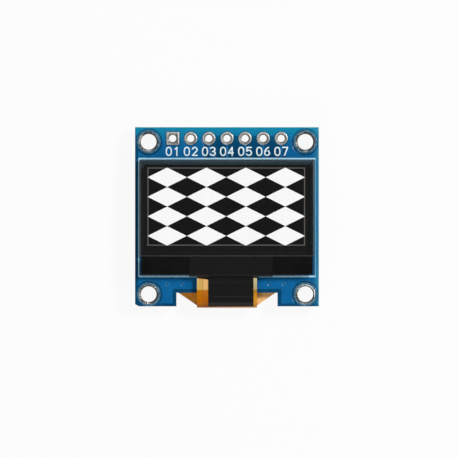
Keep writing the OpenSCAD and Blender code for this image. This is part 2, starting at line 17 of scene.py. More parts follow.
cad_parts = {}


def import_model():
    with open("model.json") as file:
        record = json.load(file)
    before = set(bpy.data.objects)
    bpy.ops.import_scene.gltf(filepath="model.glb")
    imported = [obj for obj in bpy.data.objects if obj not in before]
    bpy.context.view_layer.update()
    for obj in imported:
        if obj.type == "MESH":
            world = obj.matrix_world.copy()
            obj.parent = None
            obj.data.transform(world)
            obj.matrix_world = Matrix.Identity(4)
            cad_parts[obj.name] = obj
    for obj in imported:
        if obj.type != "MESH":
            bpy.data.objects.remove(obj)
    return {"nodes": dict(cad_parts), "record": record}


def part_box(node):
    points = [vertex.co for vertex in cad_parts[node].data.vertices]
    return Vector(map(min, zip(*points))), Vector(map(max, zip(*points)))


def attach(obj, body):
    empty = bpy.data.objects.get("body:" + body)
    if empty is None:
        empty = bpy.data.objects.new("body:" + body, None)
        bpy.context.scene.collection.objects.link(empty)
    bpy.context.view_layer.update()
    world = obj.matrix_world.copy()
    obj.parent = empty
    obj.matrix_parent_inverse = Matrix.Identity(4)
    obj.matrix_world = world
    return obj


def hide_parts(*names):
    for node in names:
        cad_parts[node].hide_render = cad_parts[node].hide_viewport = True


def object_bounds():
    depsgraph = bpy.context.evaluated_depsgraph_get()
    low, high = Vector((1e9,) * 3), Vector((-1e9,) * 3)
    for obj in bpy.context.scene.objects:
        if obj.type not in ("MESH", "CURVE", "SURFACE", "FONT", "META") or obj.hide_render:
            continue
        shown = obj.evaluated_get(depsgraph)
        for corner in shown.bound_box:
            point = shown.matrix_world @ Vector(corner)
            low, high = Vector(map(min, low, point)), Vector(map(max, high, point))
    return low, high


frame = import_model()
cad_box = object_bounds()

MM = 0.001
NODES = frame["nodes"]


def box(node):
    """A node's lowest and highest corners, in millimetres."""
    lo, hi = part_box(node)
    return Vector(lo) / MM, Vector(hi) / MM


def middle(node):
    lo, hi = box(node)
    return (lo + hi) / 2


# ---------- places, from the frame ----------

board_lo, board_hi = box("printed_circuit_board")
glass_lo, glass_hi = box("front_glass")
frame_lo, frame_hi = box("front_silkscreen")
pads_lo, pads_hi = box("flex_pads")
fold_y = box("flex_film")[0].y
ledge_top = box("ledge_film")[1].y

FRONT, REAR = board_hi.z, board_lo.z
PINS = [f"header_pad_{i}" for i in range(1, 8)]
CORNERS = [f"mounting_ring_{c}" for c in ("top_left", "top_right", "bottom_left", "bottom_right")]
MOUNTS = {m["name"]: m for m in frame["record"]["mounts"]}
PIN_HOLE_R = MOUNTS["header_hole_1"]["dims"]["r_mm"]
CORNER_HOLE_R = MOUNTS["mounting_holes"]["dims"]["hole_r_mm"]
PIN_PAD_R = (box(PINS[1])[1].x - box(PINS[1])[0].x) / 2
RING_R = (box(CORNERS[0])[1].x - box(CORNERS[0])[0].x) / 2
PIN_Y = middle(PINS[0]).y
# Where the traces of pins 3 and 4 turn left, and the lines x + y on which they then run
TURNS = (glass_hi.y + 1.2, glass_hi.y + 0.32)
DIAGONALS = [middle(n).x + turn for n, turn in zip(PINS[2:4], TURNS)]

# The board's notch, as the CAD cuts it
NOTCH_HALF = 7.1
NOTCH_TOP = board_lo.y + 1.91


# ---------- outlines ----------
# An outline is a list of (x, y). Its material lies on its left, so outer outlines run
# anticlockwise and holes clockwise.


def arc(x, y, r, start, end, steps, ry=None):
    """Points along a round or oval arc, angles in degrees."""
    ry = r if ry is None else ry
    angles = np.radians(np.linspace(start, end, steps + 1))
    return [(x + r * math.cos(a), y + ry * math.sin(a)) for a in angles]


def circle(x, y, r, steps=48):
    return arc(x, y, r, 0, 360, steps)[:-1]


def hole(points):
    """An anticlockwise outline, turned into a hole."""
    return points[::-1]


def rectangle(x0, y0, x1, y1, r=0.0, steps=5):
    """A rectangle with round corners, anticlockwise."""
    if r <= 0:
        return [(x0, y0), (x1, y0), (x1, y1), (x0, y1)]
    return (
        arc(x1 - r, y0 + r, r, -90, 0, steps)
        + arc(x1 - r, y1 - r, r, 0, 90, steps)
        + arc(x0 + r, y1 - r, r, 90, 180, steps)
        + arc(x0 + r, y0 + r, r, 180, 270, steps)
    )


def bezier(p0, p1, p2):
    """Points along a curve with one control point."""
    return [
        tuple((1 - t) ** 2 * a + 2 * t * (1 - t) * b + t * t * c for a, b, c in zip(p0, p1, p2))
        for t in np.linspace(0, 1, 13)
    ]


def shifted(points, distance, closed=True):
    """Each point moved to the right of the line's direction."""
    p = np.array(points, float)
    before, after = np.roll(p, 1, 0), np.roll(p, -1, 0)
    if not closed:
        before[0], after[-1] = p[0] - (p[1] - p[0]), p[-1] + (p[-1] - p[-2])
    into, out = p - before, after - p
    into /= np.maximum(np.linalg.norm(into, axis=1), 1e-9)[:, None]
    out /= np.maximum(np.linalg.norm(out, axis=1), 1e-9)[:, None]
    right_in = np.stack([into[:, 1], -into[:, 0]], 1)
    right_out = np.stack([out[:, 1], -out[:, 0]], 1)
    mitre = right_in + right_out
    mitre /= np.maximum(1 + (right_in * right_out).sum(1), 0.35)[:, None]
    return [tuple(q) for q in p + mitre * distance]


CAP_STEPS = 6  # sides of a stroke's round end


def stroke(points, width):
    """The anticlockwise outline of a line with round ends."""
    right = shifted(points, width / 2, closed=False)
    left = shifted(points, -width / 2, closed=False)
    (x0, y0), (x1, y1) = points[0], points[-1]
    start = math.degrees(math.atan2(left[0][1] - y0, left[0][0] - x0))
    end = math.degrees(math.atan2(right[-1][1] - y1, right[-1][0] - x1))
    tip = arc(x1, y1, width / 2, end, end + 180, CAP_STEPS)[1:-1]
    tail = arc(x0, y0, width / 2, start, start + 180, CAP_STEPS)[1:-1]
    return right + tip + left[::-1] + tail


# ---------- mesh builders ----------

# Section of a field's rounded edge: share of the way out, share of the height
FILLET = ((0.0, 1.0), (0.3, 0.9), (0.65, 0.45), (1.0, 0.0))


def plateau(bm, outer, holes, z0, z1, slope, material=0):
    """A flat field with its top at z1 and rounded edges that reach z0 slope further out."""
    loops = [outer, *holes]
    tops = []
    for loop in loops:
        rings = [
            [bm.verts.new((x, y, z0 + (z1 - z0) * rise)) for x, y in shifted(loop, slope * out)]
            for out, rise in FILLET
        ]
        tops.append(rings[0])
        for upper, lower in zip(rings, rings[1:]):
            for i in range(len(upper)):
                face = bm.faces.new((upper[i - 1], upper[i], lower[i], lower[i - 1]))
                face.smooth = True
                face.material_index = material
    flat = [v for ring in tops for v in ring]
    for tri in tessellate_polygon([[Vector((x, y, 0)) for x, y in loop] for loop in loops]):
        if len(set(tri)) == 3:
            bm.faces.new([flat[i] for i in tri]).material_index = material


def lathe(bm, centre, profile, steps, shape=None):
    """A ring turned round centre. profile is a closed list of (r, z), and shape(angle, r, z)
    may move each of its points."""
    rings = []
    for a in np.arange(steps) * (2 * math.pi / steps):
        ring = []
        for r, z in profile:
            if shape:
                r, z = shape(a, r, z)
            ring.append(
                bm.verts.new((centre[0] + r * math.cos(a), centre[1] + r * math.sin(a), z))
            )
        rings.append(ring)
    for i, ring in enumerate(rings):
        for k in range(len(ring)):
            face = bm.faces.new((rings[i - 1][k - 1], rings[i - 1][k], ring[k], ring[k - 1]))
            face.smooth = True


def soft_box(bm, lo, hi, r, material=0):
    """A box with rounded edges."""
    made = bmesh.ops.create_cube(bm, size=1)["verts"]
    lo, hi = Vector(lo), Vector(hi)
    size, mid = hi - lo, (hi + lo) / 2
    for v in made:
        v.co = Vector(c * s for c, s in zip(v.co, size)) + mid
    edges = {e for v in made for e in v.link_edges}
    faces = {f for v in made for f in v.link_faces}
    out = bmesh.ops.bevel(bm, geom=list(edges), offset=r, segments=3, profile=0.5, affect="EDGES")
    bm.normal_update()
    for f in faces | set(out["faces"]):
        if f.is_valid:
            f.material_index = material
            f.smooth = max(abs(c) for c in f.normal) < 0.999


def make(name, bm, materials, replaces=()):
    """Turns a bmesh in millimetres into a piece that rides on the part."""
    bmesh.ops.recalc_face_normals(bm, faces=bm.faces)
    bmesh.ops.scale(bm, vec=(MM, MM, MM), verts=bm.verts)
    mesh = bpy.data.meshes.new(name)
    bm.to_mesh(mesh)
    bm.free()
    piece = bpy.data.objects.new(name, mesh)
    bpy.context.collection.objects.link(piece)
    for m in materials:
        mesh.materials.append(m)
    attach(piece, "root")
    if replaces:
        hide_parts(*replaces)
    return piece


# ---------- materials ----------


def srgb(r, g, b):
    """A colour as a screen shows it, 0 to 255, as linear light."""
    return tuple(
        c / 12.92 if c <= 0.04045 else ((c + 0.055) / 1.055) ** 2.4
        for c in (r / 255, g / 255, b / 255)
    ) + (1.0,)


class Nodes:
    """A node tree, with short calls for the nodes that repeat."""

    def __init__(self, tree):
        self.tree = tree

    def feed(self, socket, value):
        """Links a socket to an output, or gives it a constant."""
        if hasattr(value, "links"):
            self.tree.links.new(value, socket)
        else:
            socket.default_value = value

    def node(self, kind, inputs=(), **props):
        made = self.tree.nodes.new(kind)
        for key, value in props.items():
            setattr(made, key, value)
        for key, value in dict(inputs).items():
            self.feed(made.inputs[key], value)
        return made

    def math(self, operation, a, b=0.0):
        return self.node("ShaderNodeMath", {0: a, 1: b}, operation=operation).outputs[0]

    def off(self, value, centre):
        """How far value is from centre."""
        return self.math("ABSOLUTE", self.math("SUBTRACT", value, centre))

    def scaled(self, value, low, high, to_low=0.0, to_high=1.0):
        inputs = dict(enumerate((value, low, high, to_low, to_high)))
        return self.node("ShaderNodeMapRange", inputs).outputs[0]

    def ramp(self, value, *stops):
        """A colour, or a grey from 0 to 1, for each (position, colour) stop."""
        made = self.node("ShaderNodeValToRGB", {0: value})
        points = made.color_ramp.elements
        while len(points) < len(stops):
            points.new(0.5)
        for point, (at, colour) in zip(points, stops):
            point.position = at
            point.color = colour if hasattr(colour, "__len__") else (colour, colour, colour, 1)
        return made.outputs[0]

    def blend(self, factor, a, b):
        """Two shaders, b where the factor is 1."""
        inputs = {0: factor, 1: a.outputs[0], 2: b.outputs[0]}
        return self.node("ShaderNodeMixShader", inputs)


class Paint(Nodes):
    """The nodes of one material."""

    def __init__(self, name, roughness, metallic=0.0, **fixed):
        self.material = bpy.data.materials.new(name)
        self.material.use_nodes = True
        super().__init__(self.material.node_tree)
        self.bsdf = self.tree.nodes["Principled BSDF"]
        self.place = None
        for socket, value in {"Roughness": roughness, "Metallic": metallic, **fixed}.items():
            self.set(socket.replace("_", " "), value)

    def set(self, socket, value):
        self.feed(self.bsdf.inputs[socket], value)

    def position(self):
        """The point on the part, in millimetres."""
        if self.place is None:
            inputs = {0: self.node("ShaderNodeTexCoord").outputs["Object"], 1: (1 / MM,) * 3}
            self.place = self.node("ShaderNodeVectorMath", inputs, operation="MULTIPLY").outputs[0]
        return self.place

    def axis(self, letter):
        return self.node("ShaderNodeSeparateXYZ", {0: self.position()}).outputs[letter]

    def noise(self, scale, detail, stretch=None):
        """Noise from 0 to 1, scale in bumps per millimetre."""
        where = self.position()
        if stretch:
            inputs = {0: where, 1: stretch}
            where = self.node("ShaderNodeVectorMath", inputs, operation="MULTIPLY").outputs[0]
        inputs = {"Vector": where, "Scale": scale, "Detail": detail}
        return self.node("ShaderNodeTexNoise", inputs).outputs["Fac"]

    def mottled(self, low, high, scale, detail=3):
        """Two tones that blend into each other in soft blotches."""
        return self.ramp(self.noise(scale, detail), (0.3, low), (0.7, high))

    def mix(self, factor, a, b, how="MIX"):
        made = self.node("ShaderNodeMix", {0: factor, 6: a, 7: b}, data_type="RGBA", blend_type=how)
        return made.outputs[2]

    def bump(self, height, distance):
        """height times distance, in millimetres, raises the surface."""
        inputs = {"Height": height, "Distance": distance * MM, "Strength": 1.0}
        self.set("Normal", self.node("ShaderNodeBump", inputs).outputs[0])


def mask_colours(p, dark, light, teal, edge):
    """Blotchy solder mask, greener towards the header and paler at the right edge. Both shifts are
    partly painted light: a painted sheen towards the header and a painted highlight along the right
    edge.
    """
    blotch = p.mottled(dark, light, 0.7)
    up = p.scaled(p.axis("Y"), PIN_Y - 0.6, board_hi.y, 0.0, 0.95)
    side = p.scaled(p.axis("X"), board_hi.x - 0.9, board_hi.x, 0.0, 0.8)
    fine = p.mottled(0.93, 1.0, 4.5, 2)
    return p.mix(1.0, p.mix(side, p.mix(up, blotch, teal), edge), fine, "MULTIPLY")


MASK_ROUGHNESS = 0.24


def board_material():
    """Solder mask on the faces, bare glass fibre on the cut edges."""
    p = Paint("mask_over_laminate", MASK_ROUGHNESS, Specular_IOR_Level=0.35)
    dark, light = srgb(2, 64, 101), srgb(6, 74, 114)
    mask = mask_colours(p, dark, light, srgb(10, 106, 140), srgb(26, 118, 156))
    layers = p.noise(1.0, 2, stretch=(2, 2, 14))
    fibre = p.ramp(layers, (0.3, srgb(120, 134, 104)), (0.7, srgb(176, 184, 148)))
    normal = p.node("ShaderNodeNewGeometry").outputs["Normal"]
    upright = p.node("ShaderNodeSeparateXYZ", {0: normal}).outputs["Z"]
    face = p.math("GREATER_THAN", p.math("ABSOLUTE", upright), 0.5)
    p.set("Base Color", p.mix(face, fibre, mask))
    p.set("Roughness", p.scaled(face, 0, 1, 0.75, MASK_ROUGHNESS))
    warp, weft = (p.math("SINE", p.math("MULTIPLY", p.axis(axis), 11.0)) for axis in "XY")
    weave = p.math("MULTIPLY", p.math("ADD", warp, weft), 0.12)
    p.bump(p.math("ADD", p.noise(2.2, 2), weave), 0.004)
    return p.material


def pour_material():
    p = Paint("mask_over_copper", 0.28, Specular_IOR_Level=0.3)
    dark, light = srgb(6, 92, 148), srgb(12, 104, 160)
    p.set("Base Color", mask_colours(p, dark, light, srgb(18, 138, 172), srgb(56, 142, 176)))
    p.bump(p.noise(1.6, 3), 0.006)
    return p.material


def tin_material(name, dull, bright, smooth, rough):
    """Hot-dipped tin: uneven and slightly tarnished."""
    p = Paint(name, 0.4, 1.0)
    p.set("Base Color", p.ramp(p.noise(2.4, 4), (0.32, dull), (0.66, bright)))
    p.set("Roughness", p.scaled(p.noise(3.2, 2), 0.35, 0.65, smooth, rough))
    p.bump(p.noise(5, 3), 0.01)
    return p.material


def painted_sheen_tin_material():
    """Tin that is as bright as the mesh's tone attribute says, give or take a fine grain. The tone
    holds uneven tin with painted highlights, reflections and shade.
    """
    p = Paint("worn_tin", 0.4, 0.7)
    tone = p.node("ShaderNodeAttribute", attribute_name="tone").outputs["Fac"]
    grain = p.scaled(p.noise(7, 3), 0.3, 0.7, -0.09, 0.09)
    metal = p.ramp(
        p.math("ADD", tone, grain), (0.0, srgb(26, 24, 24)), (0.3, srgb(104, 103, 99)),
        (0.6, srgb(200, 201, 196)), (0.9, srgb(250, 251, 249)),
    )
    p.set("Base Color", metal)
    p.set("Roughness", p.scaled(p.noise(3.2, 2), 0.35, 0.65, 0.3, 0.48))
    p.bump(p.noise(5, 3), 0.008)
    return p.material


def glass_material(name, colour, alpha, roughness):
    return Paint(name, roughness, Base_Color=colour, Alpha=alpha, IOR=1.5).material


def traces_below(p):
    """A little less than 1, and 1 over the board's traces, which show faintly in the border."""
    across = p.axis("X")
    diagonal = p.math("ADD", across, p.axis("Y"))
    lines = 0.0
    for where, at in [(across, middle(n).x) for n in PINS[4:]] + [(diagonal, a) for a in DIAGONALS]:
        lines = p.math("MAXIMUM", p.math("LESS_THAN", p.off(where, at), 0.09), lines)
    return p.scaled(lines, 0, 1, 0.72, 1.0)


BORDER_TEAL = srgb(70, 104, 118)


def sealant_material():
    """Dark sealant under the glass border, teal at the top and the right."""
    p = Paint("sealant", 0.35)
    top = p.scaled(p.axis("Y"), glass_hi.y - 1.3, glass_hi.y - 0.3)
    side = p.scaled(p.axis("X"), glass_hi.x - 0.6, glass_hi.x - 0.1, 0.0, 0.8)
    glow = p.math("MULTIPLY", p.math("MAXIMUM", top, side), traces_below(p))
    p.set("Base Color", p.mix(glow, p.mottled(0.0065, 0.0085, 1.5), BORDER_TEAL))
    return p.material


def display_material():
    """Black where no pixel is lit, a little lighter past the lit border and teal at the top edge."""
    p = Paint("display_black", 0.16)
    lit_lo, lit_hi = box("lit_border")
    centre, half = (lit_lo + lit_hi) / 2, (lit_hi - lit_lo) / 2
    beside = p.math("GREATER_THAN", p.off(p.axis("X"), centre.x), half.x)
    beyond = p.math("GREATER_THAN", p.off(p.axis("Y"), centre.y), half.y)
    leads = p.math("SINE", p.math("MULTIPLY", p.axis("Y"), 38.0))
    lead_tone = p.ramp(p.scaled(leads, -1, 1), (0.4, 0.009), (0.9, 0.0125))
    black = p.mottled(0.0052, 0.0065, 1.2)
    tone = p.mix(p.math("MAXIMUM", beside, beyond), black, lead_tone)
    glow = p.scaled(p.axis("Y"), glass_hi.y - 0.65, glass_hi.y - 0.2, 0.0, 0.6)
    p.set("Base Color", p.mix(p.math("MULTIPLY", glow, traces_below(p)), tone, BORDER_TEAL))
    return p.material


def lit_material(name, colour, strength):
    glow = {"Emission_Color": colour, "Emission_Strength": strength}
    return Paint(name, 0.3, Base_Color=(0.02,) * 3 + (1,), Specular_IOR_Level=0.0, **glow).material


# Marks on the front of the flex film, in millimetres
SEAM_X = -3.39  # the seam down the neck's left side, where its tone changes
FILM_EDGE_X = -4.06  # right side of the pale line along the neck's left edge
BLACK_WEDGE_Y = -8.96  # lower edge of the black wedge at the neck's upper left, on the middle line
BLACK_WEDGE_TILT = 0.12  # how fast that edge falls towards the right


def film_material():
    """Amber film over wide copper. It is gold where the stiffener backs it, orange at the fold."""
    p = Paint("polyimide_amber", 0.33, Specular_IOR_Level=0.1)
    x, y, z = (p.axis(letter) for letter in "XYZ")
    up = p.scaled(y, fold_y, fold_y + 4.5)
    # Down near the fold the left and middle tones darken: partly the film's own deeper orange, partly
    # painted shade where it curves over the fold.
    left = p.ramp(
        up, (0.0, srgb(172, 92, 0)), (0.25, srgb(180, 100, 0)), (0.54, srgb(182, 110, 14)),
        (0.575, srgb(206, 168, 88)), (0.9, srgb(206, 166, 90)),
    )
    inner = p.ramp(
        up, (0.0, srgb(152, 80, 4)), (0.3, srgb(174, 97, 14)), (0.54, srgb(184, 108, 32)),
        (0.575, srgb(222, 176, 106)), (0.9, srgb(224, 174, 112)),
    )
    right = p.ramp(
        up, (0.0, srgb(200, 140, 50)), (0.3, srgb(204, 140, 38)), (0.54, srgb(168, 118, 36)),
        (0.6, srgb(178, 160, 112)), (0.9, srgb(196, 186, 146)),
    )
    front = p.mix(p.scaled(x, SEAM_X - 0.03, SEAM_X + 0.03), left, inner)
    front = p.mix(p.scaled(x, -2.4, 3.7), front, right)
    # A pale line along the neck's left edge, fading downwards, is a painted highlight.
    line = p.math("LESS_THAN", x, FILM_EDGE_X)
    line = p.math("MULTIPLY", line, p.scaled(y, -9.8, -8.8, 0.0, 0.5))
    front = p.mix(line, front, srgb(236, 222, 178))
    seam = p.math("LESS_THAN", p.off(x, SEAM_X), 0.05)
    front = p.mix(p.math("MULTIPLY", seam, 0.5), front, srgb(150, 100, 40))
    # A black wedge is painted on the film at the neck's upper left.
    tilted_y = p.math("ADD", y, p.math("MULTIPLY", x, BLACK_WEDGE_TILT))
    black_wedge = p.math("MULTIPLY", p.math("GREATER_THAN", tilted_y, BLACK_WEDGE_Y), p.math("LESS_THAN", x, 0))
    front = p.mix(black_wedge, front, (0.006, 0.006, 0.006, 1))
    # The tail's flares in the notch: the right one paler, a painted pool of light, the left one
    # deeper, painted shade of the neck; both are brighter than the film on the neck, painted light
    # that makes up for the notch's shade.
    rear_left_shaded = p.mottled(srgb(232, 140, 44), srgb(240, 160, 72), 1.2)
    rear_right_lit = p.mottled(srgb(240, 176, 104), srgb(250, 200, 136), 1.2)
    rear = p.mix(p.scaled(x, -4.4, 4.4), rear_left_shaded, rear_right_lit)
    p.set("Base Color", p.mix(p.math("LESS_THAN", z, 0.1), front, rear))
    p.bump(p.noise(1.5, 2), 0.012)
    return p.material


# Creases across the tape: place along Y, half width and strength
CREASES = ((-8.05, 0.09, 1.0), (-9.0, 0.12, 0.4), (-11.05, 0.1, 1.0))


def tape_material():
    """Satin black tape, paler along its creases: partly wear and partly a painted highlight where the
    creases catch the light.
    """
    p = Paint("tape_black", 0.38, Specular_IOR_Level=0.15)
    y = p.axis("Y")
    creases = 0.0
    for at, width, tone in CREASES:
        creases = p.math("MAXIMUM", p.scaled(p.off(y, at), 0, width, tone, 0), creases)
    uneven = p.math("MULTIPLY", creases, p.scaled(p.noise(0.9, 2), 0.3, 0.7, 0.3, 1.0))
    p.set("Base Color", p.mix(uneven, p.mottled(0.007, 0.0095, 2.5), (0.03, 0.03, 0.031, 1)))
    p.bump(p.math("ADD", p.noise(6, 3), creases), 0.006)
    return p.material


def plain_material(name, low, high, roughness, scale, relief, grain=None, metallic=0.0):
    """Blotches of two close tones, scale of them to the millimetre, under a fine relief. grain is
    the relief's own scale and detail."""
    p = Paint(name, roughness, metallic)
    p.set("Base Color", p.mottled(low, high, scale))
    if relief:
        p.bump(p.noise(*(grain or (scale * 2.5, 3))), relief)
    return p.material


MASK = board_material()
POUR = pour_material()
TIN_MASK_AND_VIA_GLINT = plain_material(
    "mask_over_tin", srgb(40, 92, 122), srgb(104, 146, 170), 0.3, 2.5, 0.008, (5, 3), 0.25
)
FIBRE_AND_SHEEN = plain_material("bare_fibre", srgb(30, 130, 150), srgb(70, 160, 174), 0.6, 3, 0)
INK = (0.5, 3.5, 0.004, (9, 2))
INK_LINE = plain_material("frame_ink", srgb(166, 214, 232), srgb(198, 236, 247), *INK)
INK_LABEL = plain_material("label_ink", srgb(226, 246, 252), srgb(242, 253, 255), *INK)
TIN = tin_material("tinned_copper", srgb(150, 150, 140), srgb(218, 219, 212), 0.3, 0.5)
TIN_PAINTED_SHEEN = painted_sheen_tin_material()
SOLDER = tin_material("bright_solder", srgb(190, 192, 194), srgb(228, 229, 230), 0.2, 0.35)
GLASS = glass_material("clear_glass", (0.03, 0.034, 0.034, 1), 0.05, 0.04)
CAP = glass_material("cap_glass", (0.022, 0.03, 0.03, 1), 0.85, 0.2)
EDGE_GLASS = plain_material("ground_glass", srgb(34, 54, 60), srgb(56, 80, 88), 0.4, 5, 0.004)
SMOKED = glass_material("smoked_film", (0.02, 0.02, 0.021, 1), 0.08, 0.1)
SEALANT = sealant_material()
FILM_EDGE = plain_material("film_edge", srgb(112, 112, 108), srgb(140, 140, 136), 0.4, 4, 0.002)
DISPLAY = display_material()
LIT = lit_material("lit_white", (0.95, 0.95, 0.95, 1), 1.26)
LIT_LINE = lit_material("lit_grey", (0.3, 0.295, 0.28, 1), 0.4)
FILM = film_material()
COPPER = srgb(168, 88, 22), srgb(192, 108, 34)
TRACK = plain_material("track_copper", *COPPER, 0.32, 3, 0.004, (4, 2))
TAPE = tape_material()
LEDGE = plain_material("film_black", 0.0045, 0.0075, 0.14, 0.5, 0.003)
FOAM = plain_material("tape_white", srgb(222, 220, 212), srgb(240, 239, 233), 0.7, 4, 0.02)
DESICCANT = plain_material("desiccant_white", srgb(215, 213, 205), srgb(232, 230, 224), 0.8, 5, 0.01)
SILICON = plain_material("silicon_grey", srgb(88, 88, 98), srgb(112, 112, 124), 0.18, 1.5, 0.001)
BOND = plain_material("bond_amber", srgb(160, 140, 92), srgb(190, 168, 112), 0.5, 4, 0.003)
CERAMIC = plain_material("ceramic_tan", srgb(166, 132, 92), srgb(190, 156, 112), 0.45, 6, 0.006)
GLAZE = plain_material("glazed_black", srgb(20, 20, 22), srgb(34, 34, 36), 0.2, 4, 0.004)
ALUMINA = plain_material("alumina_white", srgb(214, 212, 204), srgb(232, 230, 224), 0.5, 6, 0.006)
EPOXY = plain_material("moulded_epoxy", srgb(34, 34, 36), srgb(46, 46, 48), 0.5, 8, 0.008)


# ---------- finishes of the CAD nodes ----------

FINISHES = {
    "printed_circuit_board": MASK, "cap_glass": CAP, "edge_sealant": SEALANT,
    "display_layers": DISPLAY, "lit_lozenges": LIT, "lit_border": LIT_LINE,
    "driver_chip": SILICON, "bond_film": BOND, "panel_tape": FOAM, "desiccant_sheet": DESICCANT,
    "flex_film": FILM, "flex_tracks": TRACK, "light_tape": TAPE, "regulator_leads": TIN,
    "diode_leads": TIN, "flex_pads": TIN, "chip_pads": TIN, "flex_solder": SOLDER,
    "chip_solder": SOLDER,
}
for node, material in FINISHES.items():
    NODES[node].data.materials.clear()
    NODES[node].data.materials.append(material)


# ---------- panel glass and films ----------


def slab(name, materials, replaces, r, lift):
    """A thin sheet in its CAD place with rounded edges and its foot lifted by lift. A second
    material takes its sides."""
    lo, hi = box(replaces)
    bm = bmesh.new()
    soft_box(bm, (lo.x, lo.y, lo.z + lift), hi, r)
    if len(materials) > 1:
        bm.normal_update()
        for face in bm.faces:
            face.material_index = int(abs(face.normal.z) < 0.97)
    return make(name, bm, materials, [replaces])


# A hair's gap under each sheet keeps its foot off the face below
slab("panel_glass", [GLASS, EDGE_GLASS], "front_glass", 0.05, 0.006)
slab("polarizing_sheet", [SMOKED, FILM_EDGE], "polarizer", 0.03, 0.004)
slab("ledge_cover", [LEDGE], "ledge_film", 0.008, 0.002)


# ---------- parts on the rear ----------

TERMINAL = 0.35  # length of a chip's metal end
SKIN = 0.02  # how far the metal end stands proud of the body


def chip(name, body, glaze=None):
    """A two-ended chip with rounded metal ends. Its glaze covers the face away from the board."""
    lo, hi = box(name)
    long = 1 if hi.y - lo.y > hi.x - lo.x else 0
    bm = bmesh.new()
    inner = Vector((SKIN, SKIN, SKIN))
    soft_box(bm, lo + inner, hi - inner, 0.05, 0)
    for end in (0, 1):
        a, b = lo.copy(), hi.copy()
        if end:
            a[long] = hi[long] - TERMINAL
        else:
            b[long] = lo[long] + TERMINAL
        soft_box(bm, a, b, 0.07, 1)
    if glaze:
        a, b = lo + inner, hi - inner
        a[long] += TERMINAL * 0.8
        b[long] -= TERMINAL * 0.8
        flat = rectangle(a.x + 0.05, a.y + 0.05, b.x - 0.05, b.y - 0.05, 0.05)
        plateau(bm, flat, [], a.z + 0.01, lo.z + 0.004, 0.04, 2)
    return make(f"{name}_detailed", bm, [body, TIN] + ([glaze] if glaze else []), [name])


CAPACITORS = [f"large_capacitor_{i}" for i in range(1, 4)]
CAPACITORS += [f"small_capacitor_{i}" for i in range(1, 5)]
RESISTORS = [f"resistor_{i}" for i in range(1, 9)]
CHIPS = CAPACITORS + RESISTORS
for capacitor in CAPACITORS:
    chip(capacitor, CERAMIC)
for resistor in RESISTORS:
    chip(resistor, ALUMINA, GLAZE)


def moulded_body(name, draft, dot):
    """A moulded body whose sides lean in from its waist. dot is the pin mark's place on it."""
    lo, hi = box(name)
    mid = (lo + hi) / 2
    half = (hi - lo) / 2
    bm = bmesh.new()
    rings = []
    for z, lean in ((lo.z, draft), (mid.z, 0), (hi.z, draft)):
        dx, dy = half.x - lean, half.y - lean
        outline = rectangle(mid.x - dx, mid.y - dy, mid.x + dx, mid.y + dy, 0.07, 3)
        rings.append([bm.verts.new((x, y, z)) for x, y in outline])
    for lower, upper in zip(rings, rings[1:]):
        for i in range(len(lower)):
            bm.faces.new((lower[i - 1], lower[i], upper[i], upper[i - 1]))
    caps = [bm.faces.new(rings[0]), bm.faces.new(rings[2])]
    rim = {e for f in caps for e in f.edges}
    bmesh.ops.bevel(bm, geom=list(rim), offset=0.035, segments=2, profile=0.5, affect="EDGES")
    x, y = mid.x + dot[0] * half.x, mid.y + dot[1] * half.y
    disc = [(0.001, 0.01), (0.001, -0.002), (0.09, -0.003), (0.11, 0.01)]
    lathe(bm, (x, y), [(r, lo.z + z) for r, z in disc], 20)
    return make(f"{name}_detailed", bm, [EPOXY], [name])


moulded_body("regulator_body", 0.08, (-0.72, 0.35))
moulded_body("diode_body", 0.08, (-0.55, 0.6))


# ---------- copper under the solder mask ----------

POUR_RISE = 0.018  # height of a copper field above the mask beside it
POUR_SLOPE = 0.05  # width of its rounded edge
EDGE_GAP = 0.1  # bare laminate along the board's edges
# The bare strip on the left is wider than on the other edges and darker than the pour, where the
# panel's shadow falls: partly painted shadow.
LEFT_GAP = 0.47  # the same along the left edge, below its corner
FOOT_GAP = 0.46  # bare laminate along the lower edge
NOTCH_GAP = 0.58  # bare laminate round the notch
RING_GAP_R = 1.97  # radius of the bare ring round a mounting hole
RING_OPEN_R = 1.38  # radius to which a mounting ring is free of mask
PIN_GAP = 0.16  # bare ring round a header pad
WINDOW_TOP = PIN_Y + 0.45  # top of the bare window behind the header labels
WINDOW_X = (-3.3, 8.35)  # its left and right sides
TRACE_W = 0.22  # width of a trace on the front


def angle_of(x, y, px, py):
    return math.degrees(math.atan2(py - y, px - x))


def arc_to(x, y, r, p, q, clockwise, steps=24):
    """Points round a centre from p to q."""
    a, b = angle_of(x, y, *p), angle_of(x, y, *q)
    if clockwise and b > a:
        b -= 360
    if not clockwise and b < a:
        b += 360
    return arc(x, y, r, a, b, steps)


def ring_arc(c, edge_x, edge_y, side, steps):
    """The bare ring round a mounting hole between two of the pour's edges, clockwise. side is -1
    for its inner side and 1 for the side towards the corner."""
    along_x = math.sqrt(RING_GAP_R**2 - (edge_y - c.y) ** 2)
    along_y = math.sqrt(RING_GAP_R**2 - (edge_x - c.x) ** 2)
    ends = [
        (c.x + side * math.copysign(along_x, edge_x), edge_y),
        (edge_x, c.y + side * math.copysign(along_y, edge_y)),
    ]
    if (edge_x * edge_y > 0) == (side < 0):
        ends.reverse()
    return arc_to(c.x, c.y, RING_GAP_R, *ends, clockwise=True, steps=steps)


